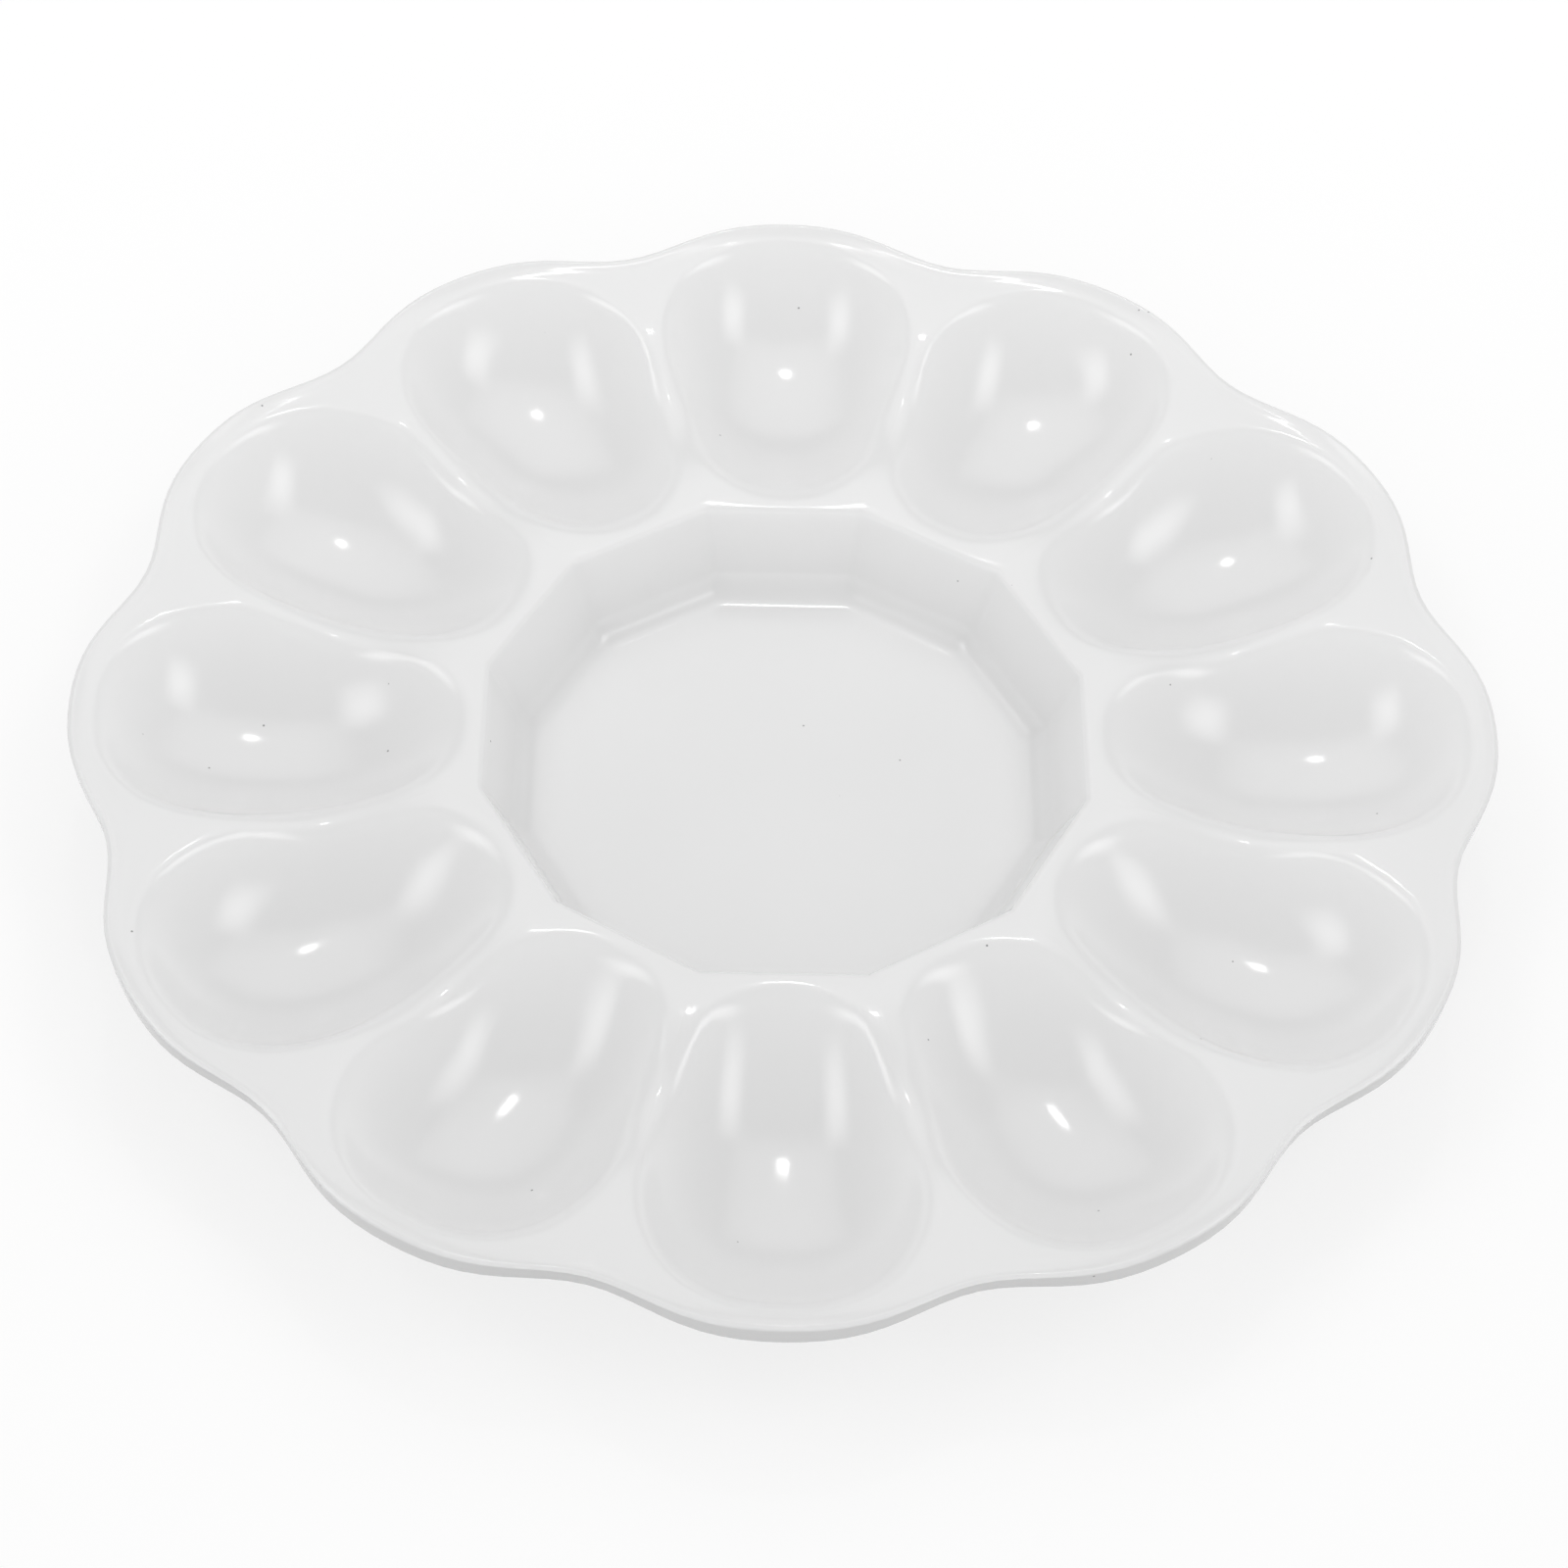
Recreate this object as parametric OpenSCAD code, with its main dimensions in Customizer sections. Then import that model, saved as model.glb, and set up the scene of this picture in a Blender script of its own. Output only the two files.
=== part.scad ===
// Deviled egg platter: a round scalloped plate with twelve egg cups round a twelve-sided dish.
// The real platter is one piece of ware. Each node here is one named region of that piece, and
// the regions meet face to face. The origin is the centre of the foot, on the table, and +Z is up.
// +Y points to the cup at twelve o'clock, and the cups are numbered like the hours of a clock.

/* [Plate] */
// Rise of each lobe above the mean outline, and its fall between lobes
lobe_rise = 3.3; // [0:0.1:5]
// Rounding of the lobes, which widens each lobe and sharpens the dip beside it
lobe_round = 0.55; // [0:0.05:1]
// Thickness of the ware
wall_t = 3.8; // [2.6:0.1:4.2]
// Height of the rim above the edge of the centre dish
deck_rise = 4.2; // [1:0.1:8]
// Width of the thicker rim round the plate
rim_w = 4.2; // [3:0.1:5]
// Height of the rim's outer edge
rim_h = 5.6; // [4.4:0.1:8]
// Rise of the rim's bead above the deck
rim_rise = 1.8; // [0:0.1:2.4]
// Radius that rounds the top of the rim
rim_top_round = 1.8; // [0.5:0.1:1.9]
// Radius that rounds the bottom of the rim
rim_foot_round = 0.9; // [0.3:0.1:1.6]
// Draft of the rim's outer edge, measured at its foot
rim_draft = 0.3; // [0:0.05:0.8]

/* [Egg cups] */
// Length of the egg form that each cup is pressed round
egg_len = 77; // [66:0.2:82]
// Radius of that egg form at mid length
egg_r = 27.7; // [24:0.1:28.4]
// Extra fullness at the blunt outer end, where 0 gives an even oval
egg_taper = 0.36; // [0:0.01:0.4]
// Tilt of the egg form, blunt end up
egg_tilt = 10; // [0:0.5:12]
// Height of the egg form's middle above the rim
egg_lift = 9.8; // [8:0.1:16]
// Distance from the dish's upper edge out to the pointed end of the egg form
egg_start = 0.1; // [0:0.1:8]
// Most that neighbouring egg forms may pass into each other at mid length, above the deck
egg_lap = 2.3; // [0:0.1:4]
// Distance from the blunt end of the egg form out to the plate's mean outline
rim_gap = 3.5; // [3:0.1:12]

/* [Centre dish] */
// Distance across flats of the dish at its upper edge
dish_top_w = 120.4; // [100:0.2:121]
// Lean of the dish wall, from its upper edge in to the floor
dish_lean = 7.2; // [5:0.1:20]
// Depth of the dish below its upper edge
dish_depth = 17.6; // [17.4:0.1:24]
// Radius that rounds the upper edge of the dish
dish_edge_round = 1.6; // [0.5:0.1:2]
// Radius of the blend between the dish wall and its floor
dish_floor_round = 7; // [3:0.5:9]

/* [Foot] */
// Distance from the edge of the dish's floor in to the middle of the foot ring
foot_inset = 7; // [1:0.1:18]
// Width of the foot ring
foot_w = 3.2; // [2:0.1:6]
// Height of the foot ring under the dish
foot_h = 1.6; // [1:0.1:3]

/* [Hidden] */

// The cups, the lobes and the sides of the dish share one count
cups = 12;
pitch = 360 / cups;
half_pitch = pitch / 2;
steps_per_lobe = 12;
round_steps = 4;
dish_steps = 3;
egg_steps = 26;
// Overrun of every cutting form past the face that it cuts
overrun = 5;
quarter_turn = 90;
$fn = 96;

// Heights above the table
floor_z = foot_h + wall_t;
dish_z = floor_z + dish_depth;
rim_z = dish_z + deck_rise;

dish_top_r = dish_top_w / 2;
dish_floor_r = dish_top_r - dish_lean;
foot_r = dish_floor_r - foot_inset;

// The egg forms stand round the dish, or further out where they would meet, and the plate reaches
// past them
egg_reach = egg_len / 2 * cos(egg_tilt);
egg_centre_r = max(dish_top_r + egg_start + egg_reach, (egg_r - egg_lap) / sin(half_pitch));
plate_r = egg_centre_r + egg_reach + rim_gap;
deck_r = plate_r - rim_w;
dish_join_r = dish_top_r + dish_edge_round;
deck_slope = deck_rise / (deck_r - dish_top_r);
far_r = plate_r + lobe_rise + lobe_round + overrun;

// Height of the deck's upper face, a shallow cone that rises to the rim
function deck_z(r) = rim_z - deck_slope * (deck_r - r);

// Outline of the plate at an angle from the middle of a lobe
function outline(a) = plate_r + lobe_rise * cos(cups * a) - lobe_round * cos(2 * cups * a);

// Radius of a flat facet at an angle, from its radius at the facet's middle line
function facet(r, a) = r / cos(a - pitch * round(a / pitch));

function ring_angles(steps) = [for (i = [0 : cups * steps - 1]) i * pitch / steps];
rim_angles = ring_angles(steps_per_lobe);
dish_angles = ring_angles(2 * dish_steps);

function at(r, a, z) = [r * sin(a), r * cos(a), z];
function flat_at(r, a) = [r * sin(a), r * cos(a)];

// Skin over closed sections: rows[i][j] is point j of section i, and both ways round close
module loop_skin(rows) {
  m = len(rows);
  n = len(rows[0]);
  points = [for (row = rows) each row];
  faces = [
    for (i = [0 : m - 1], j = [0 : n - 1])
      let (a = i * n + j, b = i * n + (j + 1) % n)
      let (c = ((i + 1) % m) * n + (j + 1) % n, d = ((i + 1) % m) * n + j)
      each [[a, b, c], [a, c, d]]
  ];
  polyhedron(points = points, faces = faces, convexity = 6);
}

// Section of the rim, from the deck up over its bead and down the outer edge
function rim_section(a) =
  let (edge_r = outline(a), in_r = edge_r - rim_w, low_z = rim_z + rim_rise - rim_h)
  let (top_r = edge_r - rim_top_round, top_z = deck_z(top_r) + rim_rise)
  let (low_r = edge_r - rim_draft - rim_foot_round)
  [
    for (i = [0 : round_steps - 1])
      let (t = i / round_steps, r = in_r + (top_r - in_r) * t)
      at(r, a, deck_z(r) + rim_rise * (1 - cos(2 * quarter_turn * t)) / 2),
    for (i = [0 : round_steps])
      let (t = quarter_turn * i / round_steps)
      at(top_r + rim_top_round * sin(t), a, top_z - rim_top_round * (1 - cos(t))),
    for (i = [0 : round_steps])
      let (t = quarter_turn * i / round_steps)
      at(low_r + rim_foot_round * cos(t), a, low_z + rim_foot_round * (1 - sin(t))),
    at(in_r, a, low_z)
  ];

module rim() {
  color("ghostwhite") loop_skin([for (a = rim_angles) rim_section(a)]);
}

// Section of the dish wall, from its outer face over the edge, down the lean and round to the floor
wall_angle = atan2(dish_depth, dish_lean);
wall_shift = wall_t / sin(wall_angle);
floor_blend = dish_floor_round * tan(wall_angle / 2);
floor_join_r = dish_floor_r - floor_blend;
under_blend = wall_t * tan(wall_angle / 2);

// A rounded corner between two straight runs, as points of a parabola
function corner(a, b, c) =
  [for (i = [0 : round_steps])
    let (t = i / round_steps)
    (1 - t) * (1 - t) * a + 2 * t * (1 - t) * b + t * t * c];

wall_dir = [dish_lean, dish_depth] / norm([dish_lean, dish_depth]);
wall_top = [dish_top_r, dish_z];
wall_foot = [dish_floor_r, floor_z];

dish_profile = [
  each corner([dish_join_r, deck_z(dish_join_r)], wall_top, wall_top - dish_edge_round * wall_dir),
  each corner(wall_foot + floor_blend * wall_dir, wall_foot, [floor_join_r, floor_z]),
  [floor_join_r, foot_h],
  [dish_floor_r + wall_shift - under_blend, foot_h],
  [dish_join_r, deck_z(dish_join_r) - wall_t - dish_edge_round]
];

function dish_section(a) =
  [for (p = dish_profile)
    let (r = facet(p[0], a))
    at(r, a, p[1] + (p[1] > dish_z - wall_t ? deck_slope * (r - p[0]) : 0))];

module dish_wall() {
  color("white") loop_skin([for (a = dish_angles) dish_section(a)]);
}

module dish_floor() {
  color("whitesmoke") translate([0, 0, foot_h]) linear_extrude(wall_t)
    polygon([for (a = dish_angles) flat_at(facet(floor_join_r, a), a)]);
}

module foot_ring() {
  color("gainsboro") rotate_extrude()
    translate([foot_r - foot_w / 2, 0]) square([foot_w, foot_h]);
}

// Outline of the egg form for an angle from its pointed end, grown outwards by a wall
function egg_point(t, grow) =
  let (u = -cos(t), swell = egg_r * exp(egg_taper * u), half = egg_len / 2)
  let (run = [swell * (cos(t) + egg_taper * sin(t) * sin(t)), half * sin(t)])
  let (out = [run[1], -run[0]] / norm(run))
  [max(0, swell * sin(t) + grow * out[0]), half * u + grow * out[1]];

module egg_form(grow) {
  translate([0, egg_centre_r, rim_z + egg_lift]) rotate([egg_tilt - quarter_turn, 0, 0])
    rotate_extrude() polygon([for (i = [0 : egg_steps]) egg_point(180 * i / egg_steps, grow)]);
}

// Space below the deck's lower face
module below_deck() {
  rotate_extrude() polygon([
    [0, 0], [far_r, 0], [far_r, deck_z(far_r) - wall_t], [0, deck_z(0) - wall_t]
  ]);
}

// Wedge of the plate that belongs to one cup, from the dish wall to the rim
module cup_wedge() {
  linear_extrude(rim_z + overrun) polygon([
    dish_join_r * [tan(half_pitch), 1], far_r * [tan(half_pitch), 1],
    far_r * [-tan(half_pitch), 1], dish_join_r * [-tan(half_pitch), 1]
  ]);
}

// One egg cup hangs under the deck, and its walls end at the planes midway to the next cups
module egg_cup(hour) {
  color("snow") rotate([0, 0, -pitch * hour]) intersection() {
    difference() {
      egg_form(wall_t);
      egg_form(0);
    }
    cup_wedge();
    below_deck();
  }
}

module deck() {
  color("white") difference() {
    intersection() {
      linear_extrude(rim_z + overrun)
        polygon([for (a = rim_angles) flat_at(outline(a) - rim_w, a)]);
      rotate_extrude() polygon([
        [0, deck_z(0) - wall_t], [far_r, deck_z(far_r) - wall_t],
        [far_r, deck_z(far_r)], [0, deck_z(0)]
      ]);
    }
    linear_extrude(rim_z + overrun)
      polygon([for (a = dish_angles) flat_at(facet(dish_join_r, a), a)]);
    for (hour = [1 : cups]) rotate([0, 0, -pitch * hour]) egg_form(0);
  }
}

deck();
rim();
dish_wall();
dish_floor();
foot_ring();
egg_cup(1);  // egg_cup_01
egg_cup(2);  // egg_cup_02
egg_cup(3);  // egg_cup_03
egg_cup(4);  // egg_cup_04
egg_cup(5);  // egg_cup_05
egg_cup(6);  // egg_cup_06
egg_cup(7);  // egg_cup_07
egg_cup(8);  // egg_cup_08
egg_cup(9);  // egg_cup_09
egg_cup(10);  // egg_cup_10
egg_cup(11);  // egg_cup_11
egg_cup(12);  // egg_cup_12
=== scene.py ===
# %% [markdown]
# # A deviled egg platter
# The real platter is one piece of white ware: a scalloped plate with twelve egg-shaped cups in a
# ring round a twelve-sided dish. It could be modelled as a flat plate with twelve cut-outs, but
# then every lip would be a sharp edge, and a glossy glaze shows an edge more than anything else.
# So the whole skin is worked out from a rule, with its rounded lips in the rule, and the rule
# runs in Geometry Nodes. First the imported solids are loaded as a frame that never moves.

# %% Load the frame
import math

import bmesh
import bpy
from mathutils import Matrix, Vector


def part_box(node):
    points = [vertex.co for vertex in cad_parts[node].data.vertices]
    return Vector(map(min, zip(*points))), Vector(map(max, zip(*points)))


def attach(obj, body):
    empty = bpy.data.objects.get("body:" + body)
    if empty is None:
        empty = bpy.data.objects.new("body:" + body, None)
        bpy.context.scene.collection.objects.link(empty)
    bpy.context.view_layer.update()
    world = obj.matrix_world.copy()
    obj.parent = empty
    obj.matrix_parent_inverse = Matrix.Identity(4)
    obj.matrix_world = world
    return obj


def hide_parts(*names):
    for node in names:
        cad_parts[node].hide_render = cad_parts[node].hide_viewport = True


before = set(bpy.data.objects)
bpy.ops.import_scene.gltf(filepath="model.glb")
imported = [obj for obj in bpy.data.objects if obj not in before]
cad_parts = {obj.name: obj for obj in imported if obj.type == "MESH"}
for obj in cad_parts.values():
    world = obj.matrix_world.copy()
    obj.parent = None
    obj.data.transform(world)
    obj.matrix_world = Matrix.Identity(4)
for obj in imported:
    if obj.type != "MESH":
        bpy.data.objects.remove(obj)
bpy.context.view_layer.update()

print("solids in the frame:", len(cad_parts))

# %% [markdown]
# ## Sizes
# The frame already holds most sizes, because every solid has a box. Reading them from there means
# that the skin keeps fitting when the solids change. What a box can't tell, such as the wave of
# the outline, is written here once, in millimetres times MM, and MM turns them into metres.

# %% Sizes read from the frame
MM = 0.001

cups = 12
pitch = 2 * math.pi / cups
lobe_rise = 3.3 * MM
lobe_round = 0.55 * MM

rim_low, rim_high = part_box("rim")
floor_low, floor_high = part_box("dish_floor")
deck_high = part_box("deck")[1]
dish_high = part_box("dish_wall")[1]
foot_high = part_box("foot_ring")[1]

plate_r = rim_high.y - lobe_rise + lobe_round
rim_w = rim_high.y - deck_high.y
dish_join = dish_high.x
floor_z = floor_high.z
under_z = floor_low.z
wall = floor_z - under_z
print(f"plate radius {plate_r / MM:.1f} mm, rim {rim_w / MM:.1f} mm wide, wall {wall / MM:.1f} mm")

# %% [markdown]
# ## The deck
# The deck is the nearly flat ground between the cups. It is a shallow cone that rises to the
# rim, and a cone needs only a height at one radius and a slope. In the last few millimetres it
# turns up to the bead of the rim. The bead stands up on the lobes and almost dies away between
# them, because in the photograph only the lobes have a bright line along their edge.

# %% Deck
deck_rise = 4.2 * MM
dish_edge = 1.6 * MM
dish_top = dish_join - dish_edge
deck_slope = deck_rise / (plate_r - rim_w - dish_top)
deck_z = deck_high.z - deck_slope * (deck_high.y - (plate_r - rim_w))


def deck_at(radius):
    """Height of the deck at a distance from the middle of the plate."""
    return deck_z - deck_slope * (plate_r - rim_w - radius)


rim_top_round = 1.8 * MM
bead_share = 0.7
bead_rise = bead_share * (rim_high.z - deck_at(rim_high.y - rim_top_round))
bead_inset = 1.0 * MM
upturn_w = 4 * MM
bead_dip = 0.8


def upturn_at(inset):
    """Rise of the upturned edge at a distance inside the plate's outline."""
    share = min(1, max(0, 1 - (inset - bead_inset) / upturn_w))
    return bead_rise * share * share


print(f"deck at {deck_z / MM:.2f} mm, slope {deck_slope:.4f}, "
      f"bead {bead_rise / MM:.2f} mm above it")

# %% [markdown]
# ## Formulas as nodes
# A formula in Geometry Nodes is a chain of Math nodes, and a long one is hard to read as nodes.
# A small class helps: a Field stands for a number that the tree works out at every point, and
# adding or multiplying two Fields adds the right Math node. The formulas below then read like
# any other Python, and still end up as nodes that can be opened and changed by hand.


# %% A number that the tree works out
class Field:
    """A number in a node tree that can be used in a formula."""

    def __init__(self, tree, socket):
        self.tree = tree
        self.socket = socket

    def work(self, operation, *others):
        node = self.tree.nodes.new("ShaderNodeMath")
        node.operation = operation
        for slot, value in zip(node.inputs, (self, *others)):
            give(self.tree, slot, value)
        return Field(self.tree, node.outputs["Value"])

    def __add__(self, other):
        return self.work("ADD", other)

    def __mul__(self, other):
        return self.work("MULTIPLY", other)

    def __sub__(self, other):
        return self.work("SUBTRACT", other)

    def __truediv__(self, other):
        return self.work("DIVIDE", other)

    def __rsub__(self, other):
        return self * -1 + other

    def __rtruediv__(self, other):
        return self.power(-1) * other

    __radd__ = __add__
    __rmul__ = __mul__

    def sin(self):
        return self.work("SINE")

    def cos(self):
        return self.work("COSINE")

    def exp(self):
        return self.work("EXPONENT")

    def sqrt(self):
        return self.work("SQRT")

    def abs(self):
        return self.work("ABSOLUTE")

    def power(self, other):
        return self.work("POWER", other)

    def angle(self, other):
        return self.work("ARCTAN2", other)

    def least(self, other):
        return self.work("MINIMUM", other)

    def most(self, other):
        return self.work("MAXIMUM", other)

    def between(self, low, high):
        return self.most(low).least(high)


def give(tree, slot, value):
    """Links a Field or a socket to an input, or writes a plain value there."""
    if isinstance(value, Field):
        tree.links.new(value.socket, slot)
    elif isinstance(value, bpy.types.NodeSocket):
        tree.links.new(value, slot)
    else:
        slot.default_value = value


def add(tree, kind, inputs=(), **settings):
    """Adds a node, with its settings and its inputs by name."""
    node = tree.nodes.new(kind)
    for name, value in settings.items():
        setattr(node, name, value)
    for name, value in dict(inputs).items():
        give(tree, node.inputs[name], value)
    return node


print("formula helper ready")

# %% [markdown]
# ## Profiles
# The dish, the foot and the rim have a section that stays the same all the way round, as on a
# lathe. Each section is a few corner points with a radius. The corners are turned into arcs and
# the long runs are cut into short steps, and the result is kept as a loose line of points that
# the tree samples row by row.


# %% Rounded profiles
def rounded(corners, arc_steps=6):
    """Points of a profile whose corners, each (radius, height, rounding), become arcs."""
    points = []
    places = [Vector(corner[:2]) for corner in corners]
    for i, (here, corner) in enumerate(zip(places, corners)):
        if not corner[2]:
            points.append(here)
            continue
        back = (places[i - 1] - here).normalized()
        ahead = (places[i + 1] - here).normalized()
        half = back.angle(ahead) / 2
        centre = here + (back + ahead).normalized() * corner[2] / math.sin(half)
        start = here + back * corner[2] / math.tan(half) - centre
        end = here + ahead * corner[2] / math.tan(half) - centre
        for step in range(arc_steps + 1):
            share = step / arc_steps
            points.append(centre + start.lerp(end, share).normalized() * corner[2])
    return points


def stepped(points, longest):
    """The same points, with more between any two that are further apart than longest."""
    full = [points[0]]
    for start, end in zip(points, points[1:]):
        steps = max(1, math.ceil((end - start).length / longest))
        full += [start.lerp(end, i / steps) for i in range(1, steps + 1)]
    return full


def profile_line(name, points):
    """A mesh of loose points that the tree reads, with the radius along Y and the height up."""
    mesh = bpy.data.meshes.new(name)
    mesh.from_pydata([(0, p[0], p[1]) for p in points], [], [])
    line = bpy.data.objects.new(name, mesh)
    bpy.context.scene.collection.objects.link(line)
    print(f"{name}: {len(points)} rows")
    return line


# %% [markdown]
# ## The dish, from above
# The centre dish has a rounded upper edge, a wall that leans in, a soft blend and a flat floor.

# %% Dish profile
dish_lean = 7.2 * MM
dish_floor = dish_top - dish_lean
dish_blend = 7 * MM
dish_rows = stepped(
    rounded([
        (dish_join, deck_at(dish_join), 0),
        (dish_top, deck_at(dish_top), 1.5 * MM),
        (dish_floor, floor_z, dish_blend),
        (0, floor_z, 0),
    ]),
    longest=3 * MM,
)
dish_line = profile_line("dish_line", dish_rows)

# %% [markdown]
# ## The dish, from below
# The photograph doesn't show the underside, so it has the plainest form that a potter would
# give it: the wall follows the dish at an even thickness, and the platter stands on a turned
# foot ring. The ring's edges are rounded, because raw clay is sponged there before firing.

# %% Underside profile
foot_out = foot_high.x
foot_w = 3.2 * MM
foot_in = foot_out - foot_w
heel = dish_floor + 2.4 * MM
under_rows = stepped(
    rounded([
        (dish_join, deck_at(dish_join) - wall, 0),
        (dish_join - 0.4 * MM, deck_at(dish_join) - wall - dish_edge, 1.2 * MM),
        (heel, under_z, 2.4 * MM),
        (foot_out + 0.1 * MM, under_z, 0.5 * MM),
        (foot_out, 0, 0.7 * MM),
        (foot_in, 0, 0.7 * MM),
        (foot_in - 0.1 * MM, under_z, 0.5 * MM),
        (0, under_z, 0),
    ], arc_steps=4),
    longest=4 * MM,
)
under_line = profile_line("under_line", under_rows)

# %% [markdown]
# ## The rim
# The rim is the edge that fingers hold: a narrow bead on top, an upright side that draws in a
# little as it goes down, as a cast piece must to leave its mould, and a flat lower edge. Its
# profile is measured from the scalloped outline, so each corner starts with minus its distance
# inside that outline. The small roundings matter, because each draws one bright line.

# %% Rim profile
rim_foot_round = 0.9 * MM
rim_draft = 0.4 * MM
rim_top_w = 2.7 * MM
rim_edge_share = 0.75
rim_hollow = 1.1 * MM
rim_low_z = rim_low.z
turning_insets = (rim_top_w, 0.85 * rim_top_w)
turning = [(-inset, deck_at(plate_r - inset) + upturn_at(inset), 0)
           for inset in turning_insets]
rim_rows = stepped(
    rounded([
        *turning,
        (-bead_inset, deck_at(plate_r - bead_inset) + bead_rise, 0.7 * MM),
        (0, deck_at(plate_r) + rim_edge_share * bead_rise, 0.6 * MM),
        (-rim_draft, rim_low_z, rim_foot_round),
        (-rim_w + rim_hollow, rim_low_z, 0.7 * MM),
        (-rim_w, deck_at(plate_r - rim_w) + upturn_at(rim_w) - wall, 0),
    ], arc_steps=7),
    longest=1.2 * MM,
)
rim_line = profile_line("rim_line", rim_rows)

# %% [markdown]
# ## The rule's inputs
# The tree gets one named input for each size, so the rule can be tried with other numbers in the
# modifier panel. Each cup is the lower half of an egg form, blunt end out. Its fullness says, for
# each direction, how squarely it is filled: 2 gives the curve of a true ellipse, and more gives
# steeper walls round a flatter middle, as a cup made by a mould has. The mouth is the outline of
# that cup in the deck: it only decides where the mesh lines run, so that they follow the lip.

# %% Named inputs of the tree
egg = {
    "Egg centre": 96.0 * MM,
    "Egg half length": 40.8 * MM,
    "Egg outer length": 43.0 * MM,
    "Egg half width": 29.7 * MM,
    "Egg depth": 19.5 * MM,
    "Egg taper": 0.086,
    "Egg lift": deck_z + 4.4 * MM,
    "Egg tilt": -0.015,
    "Fullness outward": 2.68,
    "Fullness inward": 1.78,
    "Fullness across": 2.23,
    "Fullness down": 1.23,
}
mouth = {
    "Mouth centre": 100.3 * MM,
    "Mouth half length": 35.9 * MM,
    "Mouth half width": 25.0 * MM,
    "Mouth taper": 0.2,
}
sizes = {
    "Cups": cups,
    "Plate radius": plate_r,
    "Lobe rise": lobe_rise,
    "Lobe roundness": lobe_round,
    "Rim width": rim_w,
    "Rim top width": rim_top_w,
    "Deck height": deck_z,
    "Deck slope": deck_slope,
    "Bead rise": bead_rise,
    "Bead inset": bead_inset,
    "Bead dip": bead_dip,
    "Upturn width": upturn_w,
    "Dish join": dish_join,
    "Wall": wall,
    "Lip rounding": 2.3 * MM,
    "Web rounding": 11.4 * MM,
    "Foot height": under_z,
    **egg,
    **mouth,
}

tree = bpy.data.node_groups.new("platter_rule", "GeometryNodeTree")
tree.interface.new_socket("Geometry", in_out="INPUT", socket_type="NodeSocketGeometry")
tree.interface.new_socket("Geometry", in_out="OUTPUT", socket_type="NodeSocketGeometry")
socket_of = {}
for name in sizes:
    kind = "NodeSocketInt" if name == "Cups" else "NodeSocketFloat"
    socket_of[name] = tree.interface.new_socket(name, in_out="INPUT", socket_type=kind)
for name in ("Dish line", "Under line", "Rim line"):
    socket_of[name] = tree.interface.new_socket(
        name, in_out="INPUT", socket_type="NodeSocketObject")
socket_of["Glaze"] = tree.interface.new_socket(
    "Glaze", in_out="INPUT", socket_type="NodeSocketMaterial")

entry = tree.nodes.new("NodeGroupInput")
size = {name: Field(tree, entry.outputs[name]) for name in sizes}
print("named inputs:", len(socket_of))

# %% [markdown]
# ## The shapes as formulas
# Each function below is one sentence of the rule. The outline is a circle with a wave. The deck
# is a cone with an upturned edge. The egg form gives a height at any place in the plan, and goes
# on rising outside its mouth. So the glaze is simply the lower of two heights, cup or deck, and
# the crease between them is rounded off, which makes the lip. Two cups side by side meet in the
# same way, which makes the low web between them. The underside follows the same rule, with an
# egg form that is grown by the wall. The reach, in half lengths of the egg, is where the form
# stops changing, far outside its mouth.

# %% Outline, deck and egg
half_turn = pitch / 2
egg_reach = 1.6


def outline(turn):
    """Radius of the plate's edge at an angle from the middle of a lobe."""
    wave = size["Lobe rise"] * (turn * size["Cups"]).cos()
    return size["Plate radius"] + wave - size["Lobe roundness"] * (turn * size["Cups"] * 2).cos()


def lobe_share(turn):
    """How much of the bead's rise there is: all of it on a lobe, little between two lobes."""
    return 1 - size["Bead dip"] * (1 - (turn * size["Cups"]).cos()) / 2


def deck_height(x, y):
    """Height of the deck and its upturned edge at a place in the plan."""
    radius = (x * x + y * y).sqrt()
    turn = x.angle(y)
    inset = outline(turn) - radius
    upturn = (1 - (inset - size["Bead inset"]) / size["Upturn width"]).between(0, 1)
    inside = size["Plate radius"] - size["Rim width"] - radius
    cone = size["Deck height"] - size["Deck slope"] * inside
    return cone + size["Bead rise"] * lobe_share(turn) * upturn * upturn


def egg_face(x, y, grow=0.0):
    """Height of the lower face of the egg form, or of one grown by a wall."""
    past = y - size["Egg centre"]
    along = (past / (size["Egg half length"] + grow)).between(-egg_reach, egg_reach)
    width = (size["Egg half width"] + grow) * (size["Egg taper"] * along).exp()
    across = (x.abs() / width).power(size["Fullness across"])
    towards_rim = (past / (size["Egg outer length"] + grow)).between(0, egg_reach)
    outward = towards_rim.power(size["Fullness outward"])
    inward = (along * -1).most(0).power(size["Fullness inward"])
    room = 1 - outward - inward - across
    share = room.most(0).power(1 / size["Fullness down"]) - (room * -1).most(0)
    return size["Egg lift"] + size["Egg tilt"] * past - (size["Egg depth"] + grow) * share


def meet(one, other, soft):
    """The lower of two heights, with the crease between them rounded."""
    near = (soft - (one - other).abs()).most(0) / soft
    return one.least(other) - near * near * soft / 4


def cup_height(x, y, grow=0.0):
    """Height of the cup where it meets the cup beside it in a rounded web."""
    next_x = y * math.sin(pitch) - x.abs() * math.cos(pitch)
    next_y = y * math.cos(pitch) + x.abs() * math.sin(pitch)
    return meet(egg_face(x, y, grow), egg_face(next_x, next_y, grow), size["Web rounding"])


def glazed_height(x, y):
    """Height of the glaze over the cup, its lip and the deck round it."""
    return meet(cup_height(x, y), deck_height(x, y), size["Lip rounding"])


def under_height(x, y):
    """Height of the underside, where the grown egg forms hang below the deck."""
    flat = deck_height(x, y) - size["Wall"]
    return meet(cup_height(x, y, size["Wall"]), flat, size["Lip rounding"])


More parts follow.
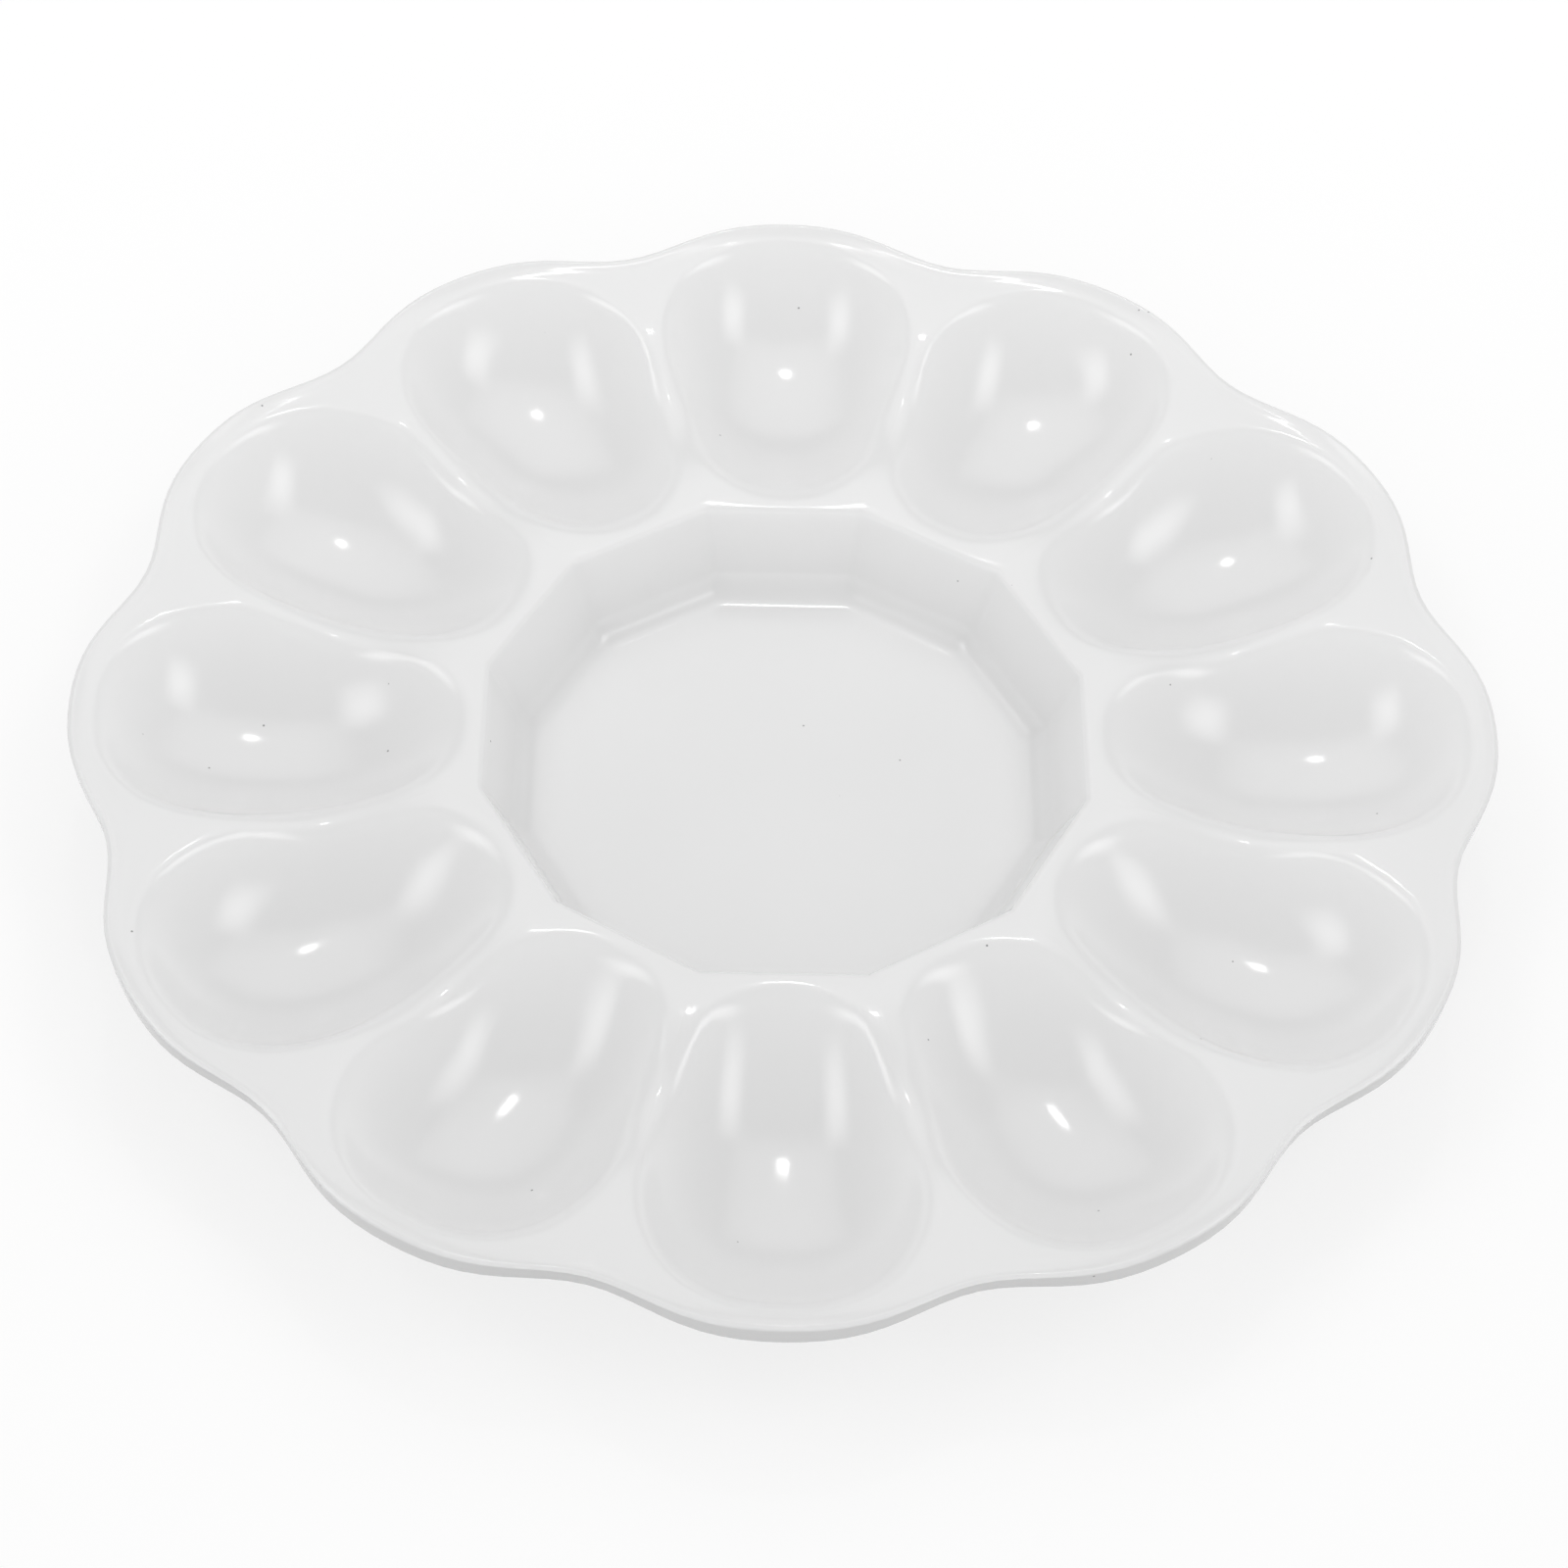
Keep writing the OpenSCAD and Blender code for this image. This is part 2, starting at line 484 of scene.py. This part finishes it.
def facet(radius, turn, height):
    """Radius on the dish: flat facets, which only turn round just above the foot ring."""
    share = (height / size["Foot height"] - 1).between(0, 1)
    return radius * (share * (1 / turn.cos() - 1) + 1)


print("formulas ready")

# %% [markdown]
# ## Patches
# One lobe of the platter is a wedge of 30 degrees. A grid bent round the mouth gives mesh lines
# that follow the lip, which a plain grid of squares can't do. The middle of the cup is a square
# patch, so that no lines meet in a point where the light would pinch. The rings lie closer
# together towards the lip, where the surface bends most.


# %% Patches in the plan
def grid_patch(columns, rows, place):
    """A grid whose points go where place(column, row) puts them, both counted from 0 to 1."""
    grid = add(tree, "GeometryNodeMeshGrid", {
        "Size X": columns, "Size Y": rows, "Vertices X": columns + 1, "Vertices Y": rows + 1})
    where = add(tree, "ShaderNodeSeparateXYZ", {
        "Vector": add(tree, "GeometryNodeInputPosition").outputs[0]})
    column = Field(tree, where.outputs["X"]) / columns + 0.5
    row = Field(tree, where.outputs["Y"]) / rows + 0.5
    x, y, z = place(column, row)
    point = add(tree, "ShaderNodeCombineXYZ", {"X": x, "Y": y, "Z": z})
    moved = add(tree, "GeometryNodeSetPosition", {
        "Geometry": grid.outputs["Mesh"], "Position": point.outputs[0]})
    return moved.outputs[0]


def in_mouth(a, b):
    """Plan of the mouth for a point of the unit disc."""
    x = size["Mouth half width"] * a * (size["Mouth taper"] * b).exp()
    return x, size["Mouth centre"] + size["Mouth half length"] * b


def wedge_edge(a, b, rim):
    """Plan of the wedge's border for a point on the edge of the unit square."""
    turn = a * half_turn
    inner = size["Dish join"] / turn.cos()
    outer = outline(turn) - rim
    radius = inner + (outer - inner) * (b + 1) / 2
    return radius * turn.sin(), radius * turn.cos()


core_share = 0.45
side_cells = 20
mouth_crowding = 0.75
deck_crowding = 1.6


def core_place(height):
    """The middle of the cup, with no lines that meet in a point."""
    def place(column, row):
        a, b = column * 2 - 1, row * 2 - 1
        x, y = in_mouth(
            a * (1 - b * b / 2).sqrt() * core_share,
            b * (1 - a * a / 2).sqrt() * core_share,
        )
        return x, y, height(x, y)
    return place


def ring_place(height, mouth_row, rim):
    """Rings from the middle of the cup, over the lip and out to the border of the wedge."""
    def place(column, row):
        side = column * 4
        a = (2 - (side - 1.5).abs() * 2).between(-1, 1)
        b = ((side - 2.5).abs() * 2 - 2).between(-1, 1)
        unit_a = a * (1 - b * b / 2).sqrt()
        unit_b = b * (1 - a * a / 2).sqrt()
        inner = (row / mouth_row).between(0, 1)
        outer = ((row - mouth_row) / (1 - mouth_row)).between(0, 1)
        crowded = inner * (1 + mouth_crowding) - inner * inner * mouth_crowding
        share = crowded * (1 - core_share) + core_share
        near_x, near_y = in_mouth(unit_a * share, unit_b * share)
        edge_x, edge_y = wedge_edge(a, b, rim)
        away = outer.power(deck_crowding)
        x = near_x + (edge_x - near_x) * away
        y = near_y + (edge_y - near_y) * away
        return x, y, height(x, y)
    return place


cup_rings = 22
deck_rings = 14
under_rings = 16
under_mouth_row = 0.5
top_core = grid_patch(side_cells, side_cells, core_place(glazed_height))
top_ring = grid_patch(
    4 * side_cells, cup_rings + deck_rings,
    ring_place(
        glazed_height, cup_rings / (cup_rings + deck_rings), size["Rim top width"]))
low_core = grid_patch(side_cells, side_cells, core_place(under_height))
low_ring = grid_patch(
    4 * side_cells, under_rings,
    ring_place(under_height, under_mouth_row, size["Rim width"]))
print("nodes so far:", len(tree.nodes))

# %% [markdown]
# ## Lathe strips
# The dish, the underside and the rim sample their profile row by row and bend it round the
# wedge. The border rows take their place from the same formulas as the patches beside them,
# so the seams close when the points are merged.


# %% Strips that follow a profile
def sampled(line_name, rows, row):
    """Radius and height of a profile at a row."""
    line = add(tree, "GeometryNodeObjectInfo", {"Object": entry.outputs[line_name]})
    number = add(tree, "FunctionNodeFloatToInt", {"Float": row * rows}, rounding_mode="ROUND")
    sample = add(tree, "GeometryNodeSampleIndex", {
        "Geometry": line.outputs["Geometry"],
        "Value": add(tree, "GeometryNodeInputPosition").outputs[0],
        "Index": number.outputs[0],
    }, data_type="FLOAT_VECTOR")
    parts = add(tree, "ShaderNodeSeparateXYZ", {"Vector": sample.outputs["Value"]})
    return Field(tree, parts.outputs["Y"]), Field(tree, parts.outputs["Z"])


def dish_place(line_name, rows, border):
    """The dish, or the underside of it, whose first row has the height that border gives."""
    def place(column, row):
        turn = (column * 2 - 1) * half_turn
        radius, height = sampled(line_name, rows, row)
        first = 1 - (row * rows).least(1)
        full = facet(radius, turn, height)
        full = full + (radius / turn.cos() - full) * first
        x, y = full * turn.sin(), full * turn.cos()
        return x, y, height + (border(x, y) - height) * first
    return place


def rim_place(rows):
    """The rim, from the deck over its top and down to the underside."""
    def place(column, row):
        turn = (column * 2 - 1) * half_turn
        inset, height = sampled("Rim line", rows, row)
        edge = outline(turn)
        x, y = (edge + inset) * turn.sin(), (edge + inset) * turn.cos()
        share = ((height - rim_low_z) / (deck_z - rim_low_z)).between(0, 1)
        above = ((height - deck_z) / size["Bead rise"]).between(0, 1)
        lifted = height + size["Deck slope"] * (edge - size["Plate radius"]) * share
        lifted = lifted - size["Bead rise"] * (1 - lobe_share(turn)) * above
        first = 1 - (row * rows).least(1)
        last = (row * rows - (rows - 1)).most(0)
        lifted = lifted + (glazed_height(x, y) - lifted) * first
        return x, y, lifted + (under_height(x, y) - lifted) * last
    return place


dish_top_strip = grid_patch(
    side_cells, len(dish_rows) - 1,
    dish_place("Dish line", len(dish_rows) - 1, glazed_height))
dish_low_strip = grid_patch(
    side_cells, len(under_rows) - 1,
    dish_place("Under line", len(under_rows) - 1, under_height))
rim_strip = grid_patch(side_cells, len(rim_rows) - 1, rim_place(len(rim_rows) - 1))
print("nodes in the tree:", len(tree.nodes))

# %% [markdown]
# ## Twelve times round
# The seven patches are joined into one wedge, and the wedge is repeated once for each cup. The
# copies are realised and their borders merged, which makes one closed skin. Smooth shading and
# the glaze come last, so that every copy has them.

# %% Repeat the wedge
seam = 0.01 * MM
wedge = add(tree, "GeometryNodeJoinGeometry")
for part in (top_core, top_ring, low_core, low_ring, dish_top_strip, dish_low_strip, rim_strip):
    tree.links.new(part, wedge.inputs[0])
places = add(tree, "GeometryNodePoints", {"Count": entry.outputs["Cups"]})
number = Field(tree, add(tree, "GeometryNodeInputIndex").outputs[0])
turned = add(tree, "ShaderNodeCombineXYZ", {"Z": number * (-2 * math.pi) / size["Cups"]})
round_plate = add(tree, "GeometryNodeInstanceOnPoints", {
    "Points": places.outputs[0], "Instance": wedge.outputs[0], "Rotation": turned.outputs[0]})
real = add(tree, "GeometryNodeRealizeInstances", {"Geometry": round_plate.outputs[0]})
merged = add(tree, "GeometryNodeMergeByDistance", {
    "Geometry": real.outputs[0], "Distance": seam})
smooth = add(tree, "GeometryNodeSetShadeSmooth", {"Geometry": merged.outputs[0]})
glazed = add(tree, "GeometryNodeSetMaterial", {
    "Geometry": smooth.outputs[0], "Material": entry.outputs["Glaze"]})
leave = tree.nodes.new("NodeGroupOutput")
tree.links.new(glazed.outputs[0], leave.inputs[0])

# %% [markdown]
# ## The glaze
# White porcelain under a clear glaze. A flat white would look like plastic film, so the material
# carries what a kiln leaves: a slow change of whiteness where the glaze lies thicker, a surface
# that ripples by a few hundredths of a millimetre, and a few dark specks of iron the size of a
# pencil dot. The ripple comes from two noises, a slow one that bends the reflections and a fine
# one that takes the glassy edge off them. The standing face of the foot ring is wiped clean of
# glaze, so there the body of the ware shows, matt and slightly darker.


# %% Glaze material
ripple_depth = 0.05 * MM
peel_depth = 0.002 * MM
grit_depth = 0.05 * MM
bare_darker = 0.12


def glaze_material():
    """White glossy glaze with ripples, specks and a bare foot."""
    glaze = bpy.data.materials.new("white_glaze")
    glaze.use_nodes = True
    nodes = glaze.node_tree
    nodes.nodes.clear()
    out = nodes.nodes.new("ShaderNodeOutputMaterial")
    place = add(nodes, "ShaderNodeTexCoord").outputs["Object"]

    cloud = add(nodes, "ShaderNodeTexNoise", {"Vector": place, "Scale": 14, "Detail": 3})
    whiteness = add(nodes, "ShaderNodeMapRange", {
        "Value": cloud.outputs[0], "From Min": 0.3, "From Max": 0.7,
        "To Min": 0.83, "To Max": 0.85})

    grains = add(nodes, "ShaderNodeTexVoronoi", {"Vector": place, "Scale": 90})
    speck = add(nodes, "ShaderNodeMapRange", {
        "Value": grains.outputs["Distance"], "From Min": 0.014, "From Max": 0.026,
        "To Min": 0.35, "To Max": 1.0})

    height = add(nodes, "ShaderNodeSeparateXYZ", {"Vector": place}).outputs["Z"]
    bare = add(nodes, "ShaderNodeMapRange", {
        "Value": height, "From Min": 0.25 * MM, "From Max": 0.45 * MM,
        "To Min": 1.0, "To Max": 0.0}).outputs[0]
    value = Field(nodes, whiteness.outputs[0]) * Field(nodes, speck.outputs[0])
    value = value * (1 - Field(nodes, bare) * bare_darker)
    colour = add(nodes, "ShaderNodeCombineColor", {"Red": value, "Green": value, "Blue": value})

    ripple = add(nodes, "ShaderNodeTexNoise", {"Vector": place, "Scale": 42, "Detail": 1})
    peel = add(nodes, "ShaderNodeTexNoise", {"Vector": place, "Scale": 520, "Detail": 2})
    relief = Field(nodes, ripple.outputs[0]) * ripple_depth
    relief = relief + Field(nodes, peel.outputs[0]) * peel_depth
    grit = add(nodes, "ShaderNodeTexNoise", {"Vector": place, "Scale": 3000, "Detail": 2})
    relief = relief + Field(nodes, grit.outputs[0]) * Field(nodes, bare) * grit_depth
    bump = add(nodes, "ShaderNodeBump", {"Height": relief, "Distance": 1.0})

    skin = add(nodes, "ShaderNodeBsdfPrincipled", {
        "Base Color": colour.outputs[0],
        "Roughness": Field(nodes, bare) * 0.5 + 0.11,
        "IOR": 1.5,
        "Normal": bump.outputs[0]})
    nodes.links.new(skin.outputs[0], out.inputs["Surface"])
    return glaze


glaze = glaze_material()
print("glaze nodes:", len(glaze.node_tree.nodes))

# %% [markdown]
# ## Run the rule
# The modifier sits on an empty mesh, gets its inputs, and its result is turned into a plain
# mesh. Twelve copies and seven patches of mixed winding come out of it, so the normals are
# recalculated once the skin is closed, and the check prints whether any edge is still open.

# %% Make the platter
carrier = bpy.data.objects.new("carrier", bpy.data.meshes.new("carrier"))
bpy.context.scene.collection.objects.link(carrier)
rule = carrier.modifiers.new("rule", "NODES")
rule.node_group = tree
for name, value in sizes.items():
    rule[socket_of[name].identifier] = value
for name, line in (("Dish line", dish_line), ("Under line", under_line), ("Rim line", rim_line)):
    rule[socket_of[name].identifier] = line
rule[socket_of["Glaze"].identifier] = glaze

bpy.context.view_layer.update()
shaped = carrier.evaluated_get(bpy.context.evaluated_depsgraph_get())
skin_mesh = bpy.data.meshes.new_from_object(shaped)
carrier.modifiers.remove(rule)
for spare in (carrier, dish_line, under_line, rim_line):
    bpy.data.objects.remove(spare)

shell = bmesh.new()
shell.from_mesh(skin_mesh)
bmesh.ops.remove_doubles(shell, verts=shell.verts, dist=seam)
bmesh.ops.dissolve_degenerate(shell, edges=shell.edges, dist=seam / 10)
bmesh.ops.recalc_face_normals(shell, faces=shell.faces)
open_edges = [edge for edge in shell.edges if not edge.is_manifold]
if shell.calc_volume(signed=True) < 0:
    bmesh.ops.reverse_faces(shell, faces=shell.faces)
for face in shell.faces:
    face.smooth = True
print(f"faces {len(shell.faces)}, open edges {len(open_edges)}, "
      f"volume {shell.calc_volume() * 1e6:.1f} cm3")
shell.to_mesh(skin_mesh)
shell.free()

platter = bpy.data.objects.new("platter", skin_mesh)
bpy.context.scene.collection.objects.link(platter)
if not platter.data.materials:
    platter.data.materials.append(glaze)
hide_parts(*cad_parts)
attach(platter, "root")

# %% [markdown]
# ## Floor
# A plain studio table. A white floor would throw light up at the upright edge of the plate,
# which is the darkest part in the photograph. So the floor is a dark grey to the light that
# bounces, and glows for rays that come from the camera or a reflection, which brings it to
# white. It keeps a soft shadow, which tells the eye how high the plate stands.

# %% Floor
floor_half = 3.0
floor_mesh = bpy.data.meshes.new("floor")
floor_mesh.from_pydata(
    [(-floor_half, -floor_half, 0), (floor_half, -floor_half, 0),
     (floor_half, floor_half, 0), (-floor_half, floor_half, 0)],
    [], [(0, 1, 2, 3)])
floor = bpy.data.objects.new("floor", floor_mesh)
bpy.context.scene.collection.objects.link(floor)


def floor_material(grey, lift):
    """Matt grey paint, lifted towards white for the camera and for reflections."""
    paint = bpy.data.materials.new("floor_paint")
    paint.use_nodes = True
    nodes = paint.node_tree
    nodes.nodes.clear()
    path = add(nodes, "ShaderNodeLightPath").outputs
    seen = Field(nodes, path["Is Camera Ray"])
    seen = seen.most(path["Is Glossy Ray"]).most(path["Is Transmission Ray"])
    matt = add(nodes, "ShaderNodeBsdfDiffuse", {"Color": (grey, grey, grey, 1)})
    shine = add(nodes, "ShaderNodeEmission", {"Color": (1, 1, 1, 1), "Strength": seen * lift})
    both = add(nodes, "ShaderNodeAddShader")
    nodes.links.new(matt.outputs[0], both.inputs[0])
    nodes.links.new(shine.outputs[0], both.inputs[1])
    out = nodes.nodes.new("ShaderNodeOutputMaterial")
    nodes.links.new(both.outputs[0], out.inputs["Surface"])
    return paint


floor_mesh.materials.append(floor_material(grey=0.25, lift=0.76))
print("floor", 2 * floor_half, "m wide")

# %% [markdown]
# ## Light
# The reflections in the photograph's cups tell how it was lit. A small lamp, high behind the
# plate, gives each cup its round spot, and two soft lights at the left and right give the pair
# of pale streaks on its sides. The back of the plate is a little brighter than the front, which
# asks for something close behind it: a panel. All but the small lamp fade towards their edges, so
# their reflections have no outline. The rest is the white tent round the table, which is brighter
# low down than overhead, and brightest behind the camera. That is why the walls of the dish are
# as light as its floor, while the deeper cups stay darker.


# %% Lights
def soft_edges(lamp, softness, middle):
    """Makes a light brightest in its middle and dark at its edges, as a diffuser over a bulb is."""
    lamp.use_nodes = True
    nodes = lamp.node_tree
    shine = nodes.nodes["Emission"]
    spot = add(nodes, "ShaderNodeSeparateXYZ", {
        "Vector": add(nodes, "ShaderNodeNewGeometry").outputs["Parametric"]})
    across = Field(nodes, spot.outputs["X"])
    along = Field(nodes, spot.outputs["Y"])
    fall = across * (1 - across) * along * (1 - along) * 16
    give(nodes, shine.inputs["Strength"], fall.power(softness) * middle)


def area_light(name, place, target, width, height, power):
    """A soft light at a place, turned towards a target, its long side along the table."""
    lamp = bpy.data.lights.new(name, "AREA")
    lamp.shape = "RECTANGLE"
    lamp.size, lamp.size_y = width, height
    lamp.energy = power
    light = bpy.data.objects.new(name, lamp)
    light.location = place
    away = (Vector(place) - Vector(target)).normalized()
    side = Vector((0, 1, 0)).cross(away).normalized()
    light.rotation_euler = Matrix((away.cross(side), -side, away)).transposed().to_euler()
    bpy.context.scene.collection.objects.link(light)
    return light


plate_middle = (0, 0, deck_z)
soft_right = area_light("soft_right", (2.15, 0.02, 3.21), plate_middle, 3.0, 1.4, 14.5)
soft_left = area_light("soft_left", (-1.91, 0.20, 2.98), plate_middle, 2.8, 1.3, 12)
soft_edges(soft_right.data, softness=1.3, middle=3)
soft_edges(soft_left.data, softness=1.3, middle=3)
area_light("small_lamp", (0.04, 1.63, 2.93), plate_middle, 0.19, 0.19, 3.0)
back_panel = area_light("back_panel", (0.0, 0.70, 0.92), plate_middle, 1.1, 1.3, 4.1)
soft_edges(back_panel.data, softness=0.6, middle=1.5)

wall_glow = 1.25
front_glow = 0.36
roof_glow = 0.35
backdrop_white = 0.98
room = bpy.data.worlds.new("room")
room.use_nodes = True
bpy.context.scene.world = room
air = room.node_tree
air.nodes.clear()
towards = add(air, "ShaderNodeSeparateXYZ", {
    "Vector": add(air, "ShaderNodeTexCoord").outputs["Generated"]})
from_front = Field(air, towards.outputs["Y"]) * -1
low = 1 - Field(air, towards.outputs["Z"]).abs()
glow_level = low * low * wall_glow + from_front * front_glow + roof_glow
seen = Field(air, add(air, "ShaderNodeLightPath").outputs["Is Camera Ray"])
strength = glow_level + seen * (backdrop_white - glow_level)
glow = add(air, "ShaderNodeBackground", {"Color": (1, 1, 1, 1), "Strength": strength})
sky = air.nodes.new("ShaderNodeOutputWorld")
air.links.new(glow.outputs[0], sky.inputs["Surface"])
bpy.context.scene.view_settings.view_transform = "Standard"
print("lights:", [lamp.name for lamp in bpy.data.lights])

# %% [markdown]
# ## Camera
# The ellipse of the rim and the places of the cups give the viewing angle: the camera looks
# down at about 51 degrees from three quarters of a metre away, with the plate turned by less
# than two degrees and the camera rolled by two and a half. The distance and the aim are written
# in units of 0.14 m, about the plate's radius. All of them come from that ellipse and those places,
# and never from the look of the picture.

# %% Camera
unit = 0.14
azimuth = math.radians(-1.8)
elevation = math.radians(50.9)
roll = math.radians(2.53)
distance = 5.35 * unit
aim = Vector((-0.0016 * unit, -0.1245 * unit, deck_z))
focal_px = 3885.0
image_px = 1600
sensor_mm = 36

back = Vector((math.sin(azimuth) * math.cos(elevation),
               -math.cos(azimuth) * math.cos(elevation), math.sin(elevation)))
right = Vector((math.cos(azimuth), math.sin(azimuth), 0))
up = back.cross(right)
turned_right = right * math.cos(roll) + up * math.sin(roll)
turned_up = up * math.cos(roll) - right * math.sin(roll)

camera_data = bpy.data.cameras.new("camera")
camera_data.sensor_width = sensor_mm
camera_data.lens = sensor_mm * focal_px / image_px
camera = bpy.data.objects.new("camera", camera_data)
axes = Matrix((turned_right, turned_up, back)).transposed()
camera.matrix_world = Matrix.Translation(aim + back * distance) @ axes.to_4x4()
bpy.context.scene.collection.objects.link(camera)
bpy.context.scene.camera = camera
print("camera at", [round(v, 3) for v in camera.location])
